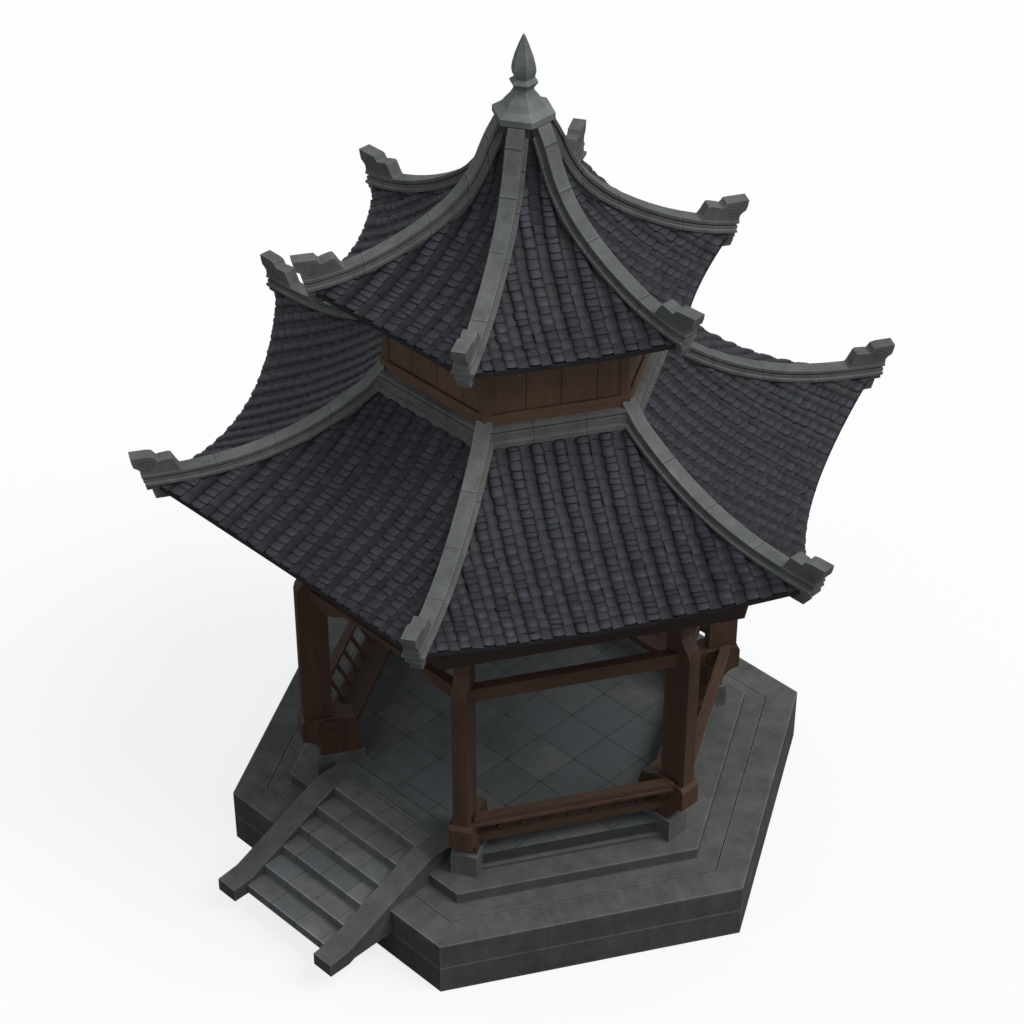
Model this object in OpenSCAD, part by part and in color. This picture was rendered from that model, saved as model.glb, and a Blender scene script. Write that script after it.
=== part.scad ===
// Hexagonal garden pavilion with two tiers of sweeping eaves.
// The origin is the middle of the plinth at its underside; the stair faces -Y.
// Lengths are millimetres; radii are to corners and half widths to flats unless a note says otherwise.

/* [Plinth] */
// Corner radius of the stone plinth
plinth_r = 4016; // [3900:8:4150]
// Height of the footing course
footing_h = 415; // [300:5:500]
// Height of the cap course above the footing
cap_h = 385; // [300:5:460]
// Width of the kerb stones, measured along the corner radius
kerb_w = 460; // [400:5:500]
// Open joint between the kerb and the deck paving
deck_joint = 14; // [4:1:30]
// Height of the middle step
middle_h = 170; // [120:5:220]
// Height of the thin base course under the floor slab
base_course_h = 56; // [30:2:90]
// How far the base course stands out from the floor slab
base_course_out = 56; // [20:2:80]
// Half width of the floor slab, to its flats
floor_half = 2400; // [2330:5:2470]
// Height of the floor slab above its base course
floor_slab_h = 184; // [140:2:240]

/* [Stair] */
// Depth of the landing between the floor slab and the first nosing
landing_d = 328; // [300:2:360]
// How far the fourth step stands out from the plinth
stair_out = 192; // [160:2:230]
// Clear half width between the cheeks
stair_half = 776; // [640:8:840]
// Thickness of each cheek
cheek_t = 322; // [260:2:340]
// Height of the cheek over the line of the nosings
cheek_rise = 20; // [12:1:60]
// Height of the underside of the stair above the underside of the plinth
stair_foot_z = 385; // [340:5:410]

/* [Columns] */
// Radius to the outer face of the columns
column_out = 3012; // [2970:2:3050]
// Radial depth of a column
column_d = 392; // [350:2:420]
// Width of a column across its narrow face
column_w = 200; // [170:2:220]
// Height of the column tops above the floor
column_top_h = 3910; // [3700:10:4200]
// How far the outer face of the head is cut back
head_cut = 150; // [100:2:180]
// Depth of the carved foot, inward from its nose
foot_d = 792; // [740:2:820]
// Thickness of the carved foot
foot_w = 300; // [260:2:330]
// Height of the carved foot
foot_h = 640; // [600:5:700]
// Height of the stone blocks under the feet
pedestal_h = 350; // [300:5:400]
// Width of the stone blocks
pedestal_w = 356; // [330:2:400]
// Radial depth of the stone blocks
pedestal_d = 660; // [640:5:700]

/* [Benches] */
// Height of the seat board above the floor
seat_h = 384; // [350:2:430]
// Thickness of the seat board
seat_t = 110; // [80:2:140]
// Half width from the middle of the pavilion to the inner edge of the seats
seat_in = 2036; // [1980:2:2080]
// Depth of the seat board
seat_d = 410; // [370:2:430]
// Height of the top of the back rail above the floor
rail_h = 816; // [760:2:850]
// Size of the back rail: depth
rail_d = 120; // [100:2:140]
// Size of the back rail: height
rail_t = 62; // [50:2:80]
// Balusters in each bay
baluster_count = 7; // [5:1:8]

/* [Beams] */
// Height of the underside of the tie beams above the floor
tie_h = 2680; // [2560:10:2800]
// Height of a tie beam
tie_t = 196; // [160:2:240]
// Thickness of a tie beam
tie_w = 130; // [100:2:160]
// Rise of the underside of the beam over the entrance
arch_rise = 130; // [60:5:140]
// Half width to the outer face of the eave beam ring
eave_beam_half = 3240; // [3180:5:3300]
// Height of the eave beam ring
eave_beam_h = 210; // [180:2:250]
// Thickness of the eave beam ring
eave_beam_w = 150; // [120:2:180]

/* [Lower roof] */
// Radius of the lower eave corners
lower_r = 4636; // [4540:4:4740]
// How far the middle of a lower eave lies inside the straight line between its corners
lower_bow = 315; // [240:5:380]
// Height of the lower eave corners above the eave beam
lower_tip_rise = 787; // [740:1:840]
// Fall of the lower hips, from the collar to the eave corners
lower_fall = 862; // [800:2:920]
// How much the lower eave corners are lifted over mid side
lower_lift = 377; // [300:1:410]
// Thickness of a roof slope at its edge
slope_t = 72; // [60:2:84]

/* [Upper roof] */
// Radius of the upper eave corners
upper_r = 2588; // [2520:4:2660]
// How far the middle of an upper eave lies inside the straight line between its corners
upper_bow = 145; // [100:5:200]
// Height of the upper eave corners above the collar
upper_tip_rise = 1295; // [1240:5:1380]
// Even part of the fall of the upper hips
upper_fall_even = 271; // [220:1:330]
// Part of the fall that grows evenly steeper towards the crown
upper_fall_curve = 965; // [900:1:1030]
// Steep part of the fall, close under the crown
upper_fall_steep = 585; // [530:1:640]
// How much the upper eave corners are lifted over mid side
upper_lift = 133; // [90:1:180]

/* [Drum] */
// Corner radius of the drum wall
drum_r = 1763; // [1700:1:1820]
// Thickness of the drum wall boards
drum_wall_t = 60; // [40:2:90]
// Size of the drum corner posts
drum_post = 170; // [150:2:190]
// Height of the sill rail on the drum wall
sill_h = 150; // [110:2:190]
// How far the stone collar stands out from the drum wall
collar_out = 125; // [100:1:150]
// Height of the top of the collar over the head of the lower roof
collar_h = 271; // [258:1:290]

/* [Ridges] */
// Width of the hip ridges
ridge_w = 196; // [180:2:210]
// How far the lower ridges run out past the eave corners
lower_out = 164; // [130:2:200]
// How far the upper ridges run out past the eave corners
upper_out = 102; // [80:2:140]

/* [Crown] */
// Corner radius of the hexagonal crown
crown_r = 381; // [350:1:420]
// Height of the crown's rim
crown_rim_h = 96; // [70:2:120]
// Height of the finial over the crown's neck
finial_h = 694; // [620:2:760]

/* [Hidden] */

STONE = [0.56, 0.58, 0.55];
TILE = [0.30, 0.30, 0.34];
TIMBER = [0.33, 0.24, 0.20];
C30 = cos(30);
T30 = tan(30);
FAR = 9000; // longer than the pavilion is wide or high

plinth_top = footing_h + cap_h;
middle_z = plinth_top + middle_h;
course_z = middle_z + base_course_h;
floor_z = course_z + floor_slab_h;
plinth_half = plinth_r * C30;
kerb_in = plinth_r - kerb_w;
course_half = floor_half + base_course_out;

// The stair: a landing level with the floor, then five treads; nosings are counted from the landing's.
tread_count = 6;
landing_z = floor_z - 5;
riser = (landing_z - stair_foot_z) / tread_count;
tread_depth = (plinth_half + stair_out - floor_half - landing_d) / 3;
function nosing(k) = floor_half + landing_d + (k - 1) * tread_depth;
function tread_z(k) = landing_z - (k - 1) * riser;
middle_out = 65; // the middle step stands out this far from the landing
middle_half = nosing(1) + middle_out;

pedestal_out = column_out - 132;
pedestal_top = middle_z + pedestal_h;
foot_top = pedestal_top + foot_h;
column_in = column_out - column_d;
column_top = floor_z + column_top_h;
column_mid = (column_out + column_in) / 2;
beam_half = column_mid * C30;

seat_z = floor_z + seat_h;
seat_out = seat_in + seat_d;
rail_z = floor_z + rail_h;
rail_half = column_out * C30 - 14;
tie_z = floor_z + tie_h;

eave_z = column_top;
eave_top = eave_z + eave_beam_h;
eave_in_r = (eave_beam_half - eave_beam_w) / C30;

// The roofs: t runs from 0 at the top of a slope to 1 at its eave, u from -1 to 1 along the side.
// Each roof is a list of four functions of t: the radius and height of its hips, how far out the
// middle of a slope lies, and how far the middle drops below the hips.
lower_tip_z = eave_top + lower_tip_rise;
lower_in = drum_r + collar_out;
lower_half = lower_r * C30 - lower_bow;
lower_hip_z = function(t) lower_tip_z + lower_fall * pow(max(0, 1 - t), 2.44);
lower_roof = [function(t) lower_in + (lower_r - lower_in) * t, lower_hip_z,
    function(t) lower_in * C30 + (lower_half - lower_in * C30) * t, function(t) lower_lift * pow(t, 2.4)];
collar_z = lower_hip_z(0) + collar_h;

edge_back = ridge_w / 2 * T30;
stem_half = ridge_w / 2 / T30 + 30; // the upper hips end at the flats of the crown's stem
upper_in = stem_half + edge_back + 18;
upper_half = upper_r * C30 - upper_bow;
upper_tip_z = collar_z + upper_tip_rise;
bend_t = 0.0285; // above this the upper hips run straight to the crown
head_slope = 1.8;
upper_curve = function(s) upper_tip_z + upper_fall_even * s + upper_fall_curve * s * s
    + upper_fall_steep * pow(s, 11.4);
upper_hip_z = function(t) upper_curve(min(1 - t, 1 - bend_t))
    + head_slope * (upper_r - upper_in) * max(0, bend_t - t);
upper_roof = [function(t) upper_in + (upper_r - upper_in) * t, upper_hip_z,
    function(t) upper_in * C30 + (upper_half - upper_in * C30) * t, function(t) upper_lift * pow(t, 2.4)];
crown_base = upper_hip_z(0) + 170;
crown_z = crown_base + crown_rim_h;

// How far down the slopes the rows of points lie that slopes, hips and rafters share.
lower_rows = [for (i = [0:14]) i / 14];
upper_rows = [for (i = [0:16]) pow(i / 16, 1.6)];

// Half the length of a slope's row, and how far out and how high one point of a slope lies.
function row_half(roof, t) = roof[0](t) / 2 - ridge_w / 2 / C30;
function out_at(roof, u, t) = roof[2](t) + (roof[0](t) * C30 - roof[2](t)) * u * u;
function z_at(roof, u, t) = roof[1](t) - roof[3](t) * (1 - u * u);

// A closed sheet over a grid of n by m points, the upper face first and the lower face after it.
module sheet(upper, lower, n, m) {
    k = n * m;
    top = [for (j = [0:m - 2]) for (i = [0:n - 2])
        each [[j * n + i, (j + 1) * n + i, (j + 1) * n + i + 1],
            [j * n + i, (j + 1) * n + i + 1, j * n + i + 1]]];
    base = [for (f = top) [f[2] + k, f[1] + k, f[0] + k]];
    rim = concat([for (i = [0:n - 2]) i], [for (j = [0:m - 2]) j * n + n - 1],
        [for (i = [n - 1:-1:1]) (m - 1) * n + i], [for (j = [m - 1:-1:1]) j * n]);
    c = len(rim);
    walls = [for (i = [0:c - 1]) let (a = rim[i], b = rim[(i + 1) % c])
        each [[a, b, b + k], [a, b + k, a + k]]];
    polyhedron(points = concat(upper, lower), faces = concat(top, base, walls), convexity = 4);
}

module hexagon(r, h) cylinder(r = r, h = h, $fn = 6);

module hex_ring(r_out, r_in, h) difference() {
    hexagon(r_out, h);
    translate([0, 0, -1]) hexagon(r_in, h + 2);
}

// Copies for the six corners and for the sides; side 0 is the entrance side, facing -Y.
module corners() for (k = [0:5]) rotate(60 * k) children();
module sides(first = 0) for (k = [first:5]) rotate(60 * k) children();

// A flat outline in the plane through the axis (x is the radius, y the height), w thick.
module radial(w) rotate([90, 0, 0]) translate([0, 0, -w / 2]) linear_extrude(w) children();

// A flat outline seen from the front of side 0 (x along the side, y the height), from out to out + w.
module facing(out, w) translate([0, -out, 0]) rotate([90, 0, 0]) linear_extrude(w) children();

// A section across side 0 (x is the distance out, y the height), from -half to half along the side.
module across(half) rotate([90, 0, -90]) translate([0, 0, -half]) linear_extrude(2 * half) children();

// Takes away what lies past the planes through the two corners of side 0, g inside them.
module between_corners(g, z0, z1) difference() {
    children();
    for (s = [-1, 1]) rotate(-90 + 30 * s) translate([0, s > 0 ? -g : -FAR, z0 - 5])
        cube([FAR, FAR + g, z1 - z0 + 10]);
}

module plinth_footing() color(STONE) hexagon(plinth_r, footing_h);

module plinth_kerb() color(STONE) difference() {
    translate([0, 0, footing_h]) hex_ring(plinth_r, kerb_in, cap_h);
    stair_notch();
}

module plinth_deck() color(STONE) translate([0, 0, footing_h]) hexagon(kerb_in - deck_joint, cap_h);

// The pocket in the kerb for the fourth step, the first below the top of the plinth.
notch_from = nosing(3);
notch_z = tread_z(5);
module stair_notch() translate([-stair_half, -plinth_half - 50, notch_z])
    cube([2 * stair_half, plinth_half + 50 - notch_from, plinth_top]);

module middle_step() color(STONE) translate([0, 0, plinth_top]) hexagon(middle_half / C30, middle_h);

module pedestal_pockets() corners() translate([pedestal_out - pedestal_d, -pedestal_w / 2, middle_z - 1])
    cube([pedestal_d + 200, pedestal_w, pedestal_h + 2]);

module base_course() color(STONE) difference() {
    translate([0, 0, middle_z]) hexagon(course_half / C30, base_course_h);
    pedestal_pockets();
    translate([-stair_half - cheek_t, -course_half - 10, middle_z - 1])
        cube([2 * (stair_half + cheek_t), base_course_out + 10, base_course_h + 2]);
}

module floor_slab() color(STONE) difference() {
    translate([0, 0, course_z]) hexagon(floor_half / C30, floor_slab_h);
    pedestal_pockets();
}

// The cheek is level beside the landing, follows the nosings and ends in a foot that bears on the ground.
cheek_head = nosing(1) + 27;
cheek_low = nosing(6) - 106;
cheek_end = nosing(6) + 217;
foot_back = nosing(6) - 100;
foot_drop = 20;
module stair_cheeks() {
    line = function(y) landing_z - (y - nosing(1)) * riser / tread_depth + cheek_rise;
    color(STONE) for (s = [-1, 1]) translate([s * (stair_half + cheek_t / 2), 0, 0]) across(cheek_t / 2)
        polygon([[floor_half, middle_z], [floor_half, line(cheek_head)], [cheek_head, line(cheek_head)],
            [cheek_low, line(cheek_low)], [cheek_end, line(cheek_low) - 34],
            [cheek_end, stair_foot_z - foot_drop],
            [foot_back, stair_foot_z - foot_drop], [foot_back - 89, stair_foot_z + foot_drop],
            [plinth_half, stair_foot_z + foot_drop], [plinth_half, plinth_top], [middle_half, plinth_top],
            [middle_half, middle_z]]);
}

// Each step is one course of stone between the cheeks, carried by the plinth and by the step below.
module stair_step(k) color(STONE) across(stair_half)
    if (k == 1) polygon([[floor_half, middle_z], [floor_half, tread_z(1)], [nosing(1), tread_z(1)],
        [nosing(1), middle_z]]);
    else if (k == 2) polygon([[nosing(1), middle_z], [nosing(1), tread_z(2)], [nosing(2), tread_z(2)],
        [nosing(2), plinth_top], [middle_half, plinth_top], [middle_half, middle_z]]);
    else if (k == 3) polygon([[nosing(2), plinth_top], [nosing(2), tread_z(3)], [notch_from, tread_z(3)],
        [notch_from, plinth_top]]);
    else if (k == 4) polygon([[notch_from, notch_z], [notch_from, tread_z(4)], [nosing(4), tread_z(4)],
        [nosing(4), stair_foot_z], [plinth_half, stair_foot_z], [plinth_half, notch_z]]);
    else polygon([[nosing(k - 1), stair_foot_z], [nosing(k - 1), tread_z(k)], [nosing(k), tread_z(k)],
        [nosing(k), stair_foot_z]]);

module step_1() stair_step(1);
module step_2() stair_step(2);
module step_3() stair_step(3);
module step_4() stair_step(4);
module step_5() stair_step(5);
module step_6() stair_step(6);

module pedestals() color(STONE) corners() translate([pedestal_out - pedestal_d, -pedestal_w / 2, middle_z])
    cube([pedestal_d, pedestal_w, pedestal_h]);

// The carved board under a column: a quarter hollow below its nose and a shouldered tail inside.
foot_out = column_out + 40;
foot_in = foot_out - foot_d;
hollow_r = 240;
module column_feet() color(TIMBER) corners() radial(foot_w) difference() {
    polygon([[foot_in, pedestal_top], [foot_in, pedestal_top + 225], [foot_in + 70, pedestal_top + 540],
        [column_in - 170, pedestal_top + 580], [column_in - 30, foot_top], [column_out, foot_top],
        [foot_out, foot_top - 60], [foot_out, pedestal_top]]);
    translate([foot_out, pedestal_top + 40]) circle(r = hollow_r, $fn = 64);
    translate([foot_out - hollow_r / 2, pedestal_top - 1]) square([hollow_r, hollow_r]);
}

// A plank column, cut back at its head in a slope and a short upright.
cut_z = tie_z + 150;
module columns() color(TIMBER) corners() radial(column_w)
    polygon([[column_in, foot_top], [column_out, foot_top], [column_out, cut_z],
        [column_out - 24, cut_z + 90], [column_out - head_cut, cut_z + 270],
        [column_out - head_cut, column_top], [column_in, column_top]]);

// Seats, rails and balusters stand in five bays; the entrance side stays open.
side_reach = 1800; // longer than half a side inside the columns
module bench_seats() color(TIMBER) sides(1) between_corners(foot_w / 2, seat_z - seat_t, seat_z)
    translate([-side_reach, -seat_out, seat_z - seat_t]) cube([2 * side_reach, seat_d, seat_t]);

// The back rail has a groove under its top member and a lip that catches the balusters.
rail_in = rail_half - rail_d;
groove_z = rail_z - rail_t - 36;
lip_z = groove_z - 52;
module bench_rails() color(TIMBER) sides(1)
    between_corners(foot_w / 2, lip_z - 20, rail_z) across(side_reach)
    polygon([[rail_in, rail_z], [rail_half, rail_z], [rail_half, rail_z - rail_t],
        [rail_half - 24, rail_z - rail_t], [rail_half - 24, groove_z], [rail_half, groove_z - 8],
        [rail_half, lip_z], [rail_half - 50, lip_z - 18], [rail_half - 90, lip_z + 8],
        [rail_in, rail_z - rail_t]]);

baluster_pitch = 312;
baluster_half = 22;
module bench_balusters() color(TIMBER) sides(1) for (i = [0:baluster_count - 1])
    translate([(i - (baluster_count - 1) / 2) * baluster_pitch, 0, 0]) across(baluster_half)
        polygon([[seat_out - 120, seat_z], [rail_half - 90, lip_z + 8], [rail_half - 50, lip_z - 18],
            [seat_out - 60, seat_z + 40], [seat_out - 50, seat_z]]);

// What the columns leave of a beam that runs along side 0.
module between_columns(z0, z1) between_corners(column_w / 2, z0, z1) children();

module tie_beams() color(TIMBER) sides(1) between_columns(tie_z, tie_z + tie_t)
    translate([-side_reach, -beam_half - tie_w / 2, tie_z]) cube([2 * side_reach, tie_w, tie_t]);

// The beam over the entrance is straight at its ends and rises in two short haunches to a level middle.
haunch_from = column_mid / 2 - 480;
module entrance_beam() color(TIMBER) between_columns(tie_z, tie_z + tie_t) difference() {
    translate([-side_reach, -beam_half - tie_w / 2, tie_z]) cube([2 * side_reach, tie_w, tie_t]);
    facing(beam_half - tie_w, 2 * tie_w) polygon([[-haunch_from, tie_z - 1], [-haunch_from, tie_z],
        [240 - haunch_from, tie_z + arch_rise], [haunch_from - 240, tie_z + arch_rise],
        [haunch_from, tie_z], [haunch_from, tie_z - 1]]);
}

// Plates that tie the column heads, flush with their tops.
plate_h = 190;
module head_plates() color(TIMBER) sides() between_columns(column_top - plate_h, column_top)
    translate([-side_reach, -beam_half - tie_w / 2, column_top - plate_h])
        cube([2 * side_reach, tie_w, plate_h]);

// The middle post of the roof stands on a hub that gathers the six radial beams.
hub_r = 300;
hub_top = eave_top + 120;
king_r = 150;
module king_post() color(TIMBER) rotate(30) {
    translate([0, 0, eave_z - 150]) hexagon(hub_r, hub_top - eave_z + 150);
    translate([0, 0, hub_top]) hexagon(king_r, stem_z - hub_top);
}

// Six radial beams on the column heads, from the hub to the corners of the eave beam.
radial_w = 180;
module head_beams() color(TIMBER) corners() intersection() {
    difference() {
        translate([0, -radial_w / 2, eave_z]) cube([FAR, radial_w, eave_beam_h]);
        rotate(30) translate([0, 0, eave_z - 1]) hexagon(hub_r, eave_beam_h + 2);
    }
    translate([0, 0, eave_z - 1]) hexagon(eave_in_r, eave_beam_h + 2);
}

module eave_beam() color(TIMBER) translate([0, 0, eave_z])
    hex_ring(eave_beam_half / C30, eave_in_r, eave_beam_h);

// The hip lines as chains of straight lengths. A ridge follows the hip line; the hip rafter under it
// follows the edge line, where the undersides of the two slopes end half a ridge's width away.
function reversed(line) = [for (i = [len(line) - 1:-1:0]) line[i]];
function hip_of(roof, rows) = [for (t = rows) [roof[0](t), roof[1](t)]];
function edge_of(hip) = [for (p = hip) [p[0] - edge_back, p[1] - slope_t]];
past = 60; // the chains run on past the ends of the ridges
lower_end = lower_r + lower_out;
lower_hip = hip_of(lower_roof, lower_rows);
lower_run = concat([[lower_in - 225, lower_hip_z(0) + 248]], lower_hip, [[lower_end + past, lower_tip_z]]);
collar_base = lower_hip_z(0) - slope_t;
lower_edge = concat([[drum_r - past, collar_base]], edge_of(lower_hip),
    [[lower_end + past, lower_tip_z - slope_t]]);

upper_end = upper_r + upper_out;
stem_z = upper_hip_z(0) - slope_t + (upper_in - edge_back - stem_half) * head_slope;
upper_hip = hip_of(upper_roof, upper_rows);
upper_run = concat([[upper_in - 165, upper_hip_z(0) + 165 * head_slope]], upper_hip,
    [[upper_end + past, upper_tip_z]]);
upper_base = concat(edge_of(upper_hip), [[upper_end + past, upper_tip_z - slope_t]]);
upper_edge = concat([[stem_half - 90, stem_z], [stem_half, stem_z]], upper_base);

// The direction square to a chain at its point i, and the chain moved that way by h.
function square_to(line, i) = let (a = line[max(0, i - 1)], b = line[min(len(line) - 1, i + 1)])
    [a[1] - b[1], b[0] - a[0]] / norm(b - a);
function raised(line, h) = [for (i = [0:len(line) - 1]) line[i] + h * square_to(line, i)];

// What lies between two chains, from one radius to another, w thick.
module strip(top, low, from, to, w) radial(w) intersection() {
    polygon(concat(top, reversed(low)));
    translate([from, 0]) square([to - from, 2 * FAR]);
}

// Hip rafters: level under the collar, then bent to the hip; they stop in the stone sleeves at the eaves.
hip_rafter_w = 150;
hip_rafter_h = 160;
upper_rafter_w = 130;
upper_rafter_h = 130;
sleeve_d = 140;
lower_soffit = raised(lower_edge, -hip_rafter_h);
// The heads of the upper hip rafters are deeper, with a straight underside up to the middle post.
upper_soffit = let (low = raised(upper_edge, -upper_rafter_h))
    concat([[stem_half - 90, stem_z - 150]], [for (i = [7:len(low) - 1]) low[i]]);
module hip_rafters() color(TIMBER) corners() difference() {
    strip(lower_edge, lower_soffit, 0, lower_r - sleeve_d, hip_rafter_w);
    hexagon(drum_r, FAR);
}

module upper_hip_rafters() color(TIMBER) corners() difference() {
    strip(upper_edge, upper_soffit, 0, upper_r - sleeve_d, upper_rafter_w);
    rotate(30) hexagon(king_r, 2 * FAR);
}

// Stone sleeves on the tips of the hip rafters, under the ridge ends; out is how far they reach past
// the eave corners.
module sleeve(edge, r, tip_z, h, out) radial(hip_rafter_w) {
    under = tip_z - slope_t;
    polygon([[r - sleeve_d, lookup(r - sleeve_d, edge)], [r - edge_back, under], [r + out, under],
        [r + out - 10, under - 60], [r + 10, under - h], [r - sleeve_d, under - h]]);
}

module corner_blocks() color(STONE) corners() {
    sleeve(lower_edge, lower_r, lower_tip_z, hip_rafter_h, lower_out - 114);
    sleeve(upper_edge, upper_r, upper_tip_z, upper_rafter_h, upper_out - 54);
}

// A common rafter of side 0, running straight up the slope just under its boards, its top following
// the slope along its inner face. It starts at the wall, or inside the hip rafter that cuts it off,
// and stops short of the eave.
rafter_gap = 6;
rafter_pitch = 300;
rafter_short = 160;
module rafter(roof, rows, x, half, h, wall) {
    inner = max(0, abs(x) - half);
    reach = [for (t = rows) if (row_half(roof, t) >= abs(x) + half) t];
    line = [for (t = reach) let (u = inner / row_half(roof, t))
        [out_at(roof, u, t), z_at(roof, u, t) - slope_t - rafter_gap]];
    tip = line[len(line) - 1][0] - rafter_short;
    top = concat([[max(wall, line[0][0] - 150), line[0][1]]], [for (p = line) if (p[0] < tip - 5) p],
        [[tip, lookup(tip, line)]]);
    translate([x, 0, 0]) across(half) polygon(concat(top, reversed([for (p = top) p - [0, h]])));
}

wall_out = 20; // the drum's boards lie this far behind the faces of its posts
lower_rafter_h = 100;
module side_rafters() between_corners(hip_rafter_w / 2, eave_top, collar_z) for (i = [-6:6])
    rafter(lower_roof, lower_rows, i * rafter_pitch, 35, lower_rafter_h, drum_half - wall_out);

upper_side_h = 90;
module upper_side_rafters() difference() {
    between_corners(upper_rafter_w / 2, collar_z, crown_z) for (i = [-3:3])
        rafter(upper_roof, upper_rows, i * rafter_pitch, 30, upper_side_h, 0);
    rotate(30) hexagon(king_r, 2 * FAR);
}

module lower_rafters() color(TIMBER) sides() side_rafters();
module upper_rafters() color(TIMBER) sides() upper_side_rafters();

// Short posts at the corners of the eave beam carry the hip rafters; between them a frieze closes the
// eave up to the boards, with the rafters lying in notches in its top.
frieze_t = 60;
frieze_half = eave_beam_half - 45;
frieze_pos = (frieze_half - lower_roof[2](0)) / (lower_half - lower_roof[2](0));
frieze_gap = 12;
module eave_posts() color(TIMBER) corners() intersection() {
    strip(lower_soffit, [[0, eave_top], [FAR, eave_top]], eave_in_r - 50, eave_in_r + 350, radial_w);
    hex_ring((frieze_half + 14) / C30, (frieze_half - frieze_t - 30) / C30, FAR);
}

module eave_frieze() {
    half = (frieze_half - frieze_t) * T30 - radial_w / 2 / C30;
    color(TIMBER) sides() difference() {
        facing(frieze_half - frieze_t, frieze_t) polygon(concat([[-half, eave_top], [half, eave_top]],
            [for (i = [8:-1:-8]) let (u = i / 8 * 0.93)
                [half * i / 8, z_at(lower_roof, u, frieze_pos) - slope_t - frieze_gap]]));
        side_rafters();
    }
}

module slope(roof, rows, n) {
    m = len(rows);
    grid = function(top) [for (t = rows) for (i = [0:n - 1]) let (u = 2 * i / (n - 1) - 1)
        [row_half(roof, t) * u, -out_at(roof, u, t), z_at(roof, u, t) - top]];
    sheet(grid(0), grid(slope_t), n, m);
}

module lower_slopes() color(TILE) sides() slope(lower_roof, lower_rows, 13);
module upper_slopes() color(TILE) sides() slope(upper_roof, upper_rows, 9);

// Hip ridge: a base between the slopes, then a lip that stands out over the tiles, a face, a hollowed
// neck and a slab, each laid square to the line of the hip.
lip_top = 34;
face_top = 72;
neck_top = 102;
ridge_h = 138;
lip_out = 36;
module ridge(run, edge, end_r, lip_from) {
    strip(run, edge, 0, end_r - 50, ridge_w);
    strip(raised(run, lip_top), run, lip_from, end_r - 36, ridge_w + 2 * lip_out);
    if (lip_from > 0) strip(raised(run, lip_top), run, 0, lip_from, ridge_w);
    strip(raised(run, face_top), raised(run, lip_top), 0, end_r - 20, ridge_w - 8);
    strip(raised(run, neck_top), raised(run, face_top), 0, end_r - 30, ridge_w - 68);
    strip(raised(run, ridge_h), raised(run, neck_top), 0, end_r, ridge_w);
}

// The heads of the lower ridges are solid blocks against the drum posts; the collar butts on their sides.
collar_r = lower_in + lip_out / C30;
sill_out = 28;
module lower_ridges() color(STONE) corners() {
    difference() {
        ridge(lower_run, lower_edge, lower_end, 0);
        hexagon(collar_r, FAR);
    }
    difference() {
        intersection() {
            strip(raised(lower_run, ridge_h), lower_edge, 0, lower_r, ridge_w);
            hexagon(collar_r, FAR);
        }
        hexagon(drum_r, FAR);
        translate([0, 0, collar_z]) hexagon(drum_r + sill_out, FAR);
    }
}

module upper_ridges() color(STONE) corners() difference() {
    ridge(upper_run, concat([[stem_half - 30, stem_z + 30 * head_slope]], upper_base), upper_end,
        ridge_w + 2 * lip_out + 22);
    rotate(30) hexagon(stem_half / C30, 2 * FAR);
    translate([0, 0, crown_base]) hexagon(FAR, FAR);
}

// The curled end of a hip ridge, as heights over the back of the ridge: a rear lobe and a taller
// front lobe that hangs over the end of the ridge.
end_d = 500;
END_OUTLINE = [[-end_d, 0], [-470, 40], [-392, 186], [-360, 196], [-250, 186], [-222, 176], [-196, 200],
    [-164, 246], [-92, 260], [116, 262], [104, 190], [84, 128], [30, 92], [6, 60], [0, 0]];
module ridge_end(end_r, run) {
    back = raised(run, ridge_h);
    color(STONE) corners() radial(ridge_w - 24)
        polygon(concat([for (p = END_OUTLINE) [end_r + p[0], lookup(end_r + p[0], back) + p[1]]],
            [for (p = reversed(back)) if (p[0] < end_r && p[0] > end_r - end_d) p]));
}

module lower_ridge_ends() ridge_end(lower_end, lower_run);
module upper_ridge_ends() ridge_end(upper_end, upper_run);

// Stone collar round the foot of the drum, with the section of the ridges, cut by the ridge heads.
collar_slab = 36;
collar_neck = 30;
collar_face = 109;
collar_lip = 65;
module collar() color(STONE) difference() {
    union() {
        neck_z = collar_z - collar_slab - collar_neck;
        lip_z = neck_z - collar_face - collar_lip;
        translate([0, 0, collar_z - collar_slab]) hex_ring(lower_in, drum_r, collar_slab);
        translate([0, 0, neck_z]) hex_ring(lower_in - 34 / C30, drum_r, collar_neck);
        translate([0, 0, lip_z]) hex_ring(collar_r, drum_r, collar_lip);
        translate([0, 0, collar_base]) hex_ring(lower_in, drum_r, neck_z - collar_base);
    }
    corners() translate([0, -ridge_w / 2, 0]) cube([FAR, ridge_w, FAR]);
}

// The drum: corner posts up to the upper hip rafters, boards between them, a sill rail round the outside.
drum_half = drum_r * C30;
module drum_posts() color(TIMBER) corners() intersection() {
    strip(upper_soffit, [[0, eave_top], [FAR, eave_top]], drum_r - drum_post, drum_r + 50, drum_post);
    hexagon(drum_r, 2 * FAR);
}

wall_pos = (drum_half - upper_roof[2](0)) / (upper_half - upper_roof[2](0));
wall_top = z_at(upper_roof, 0, wall_pos) - slope_t - 14;
wall_z = collar_base - 400;
module drum_walls() color(TIMBER) sides() difference() {
    between_corners(drum_post / 2, wall_z, wall_top)
        translate([-side_reach, -drum_half + wall_out, wall_z])
            cube([2 * side_reach, drum_wall_t, wall_top - wall_z]);
    upper_side_rafters();
}

module drum_sill() color(TIMBER) translate([0, 0, collar_z]) hex_ring(drum_r + sill_out, drum_r, sill_h);

plate_r = drum_r - drum_post;
plate_d = 160;
module upper_plate() color(TIMBER) translate([0, 0, lookup(drum_r, upper_soffit) - plate_d])
    hex_ring(plate_r, plate_r - plate_d, plate_d);

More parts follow.
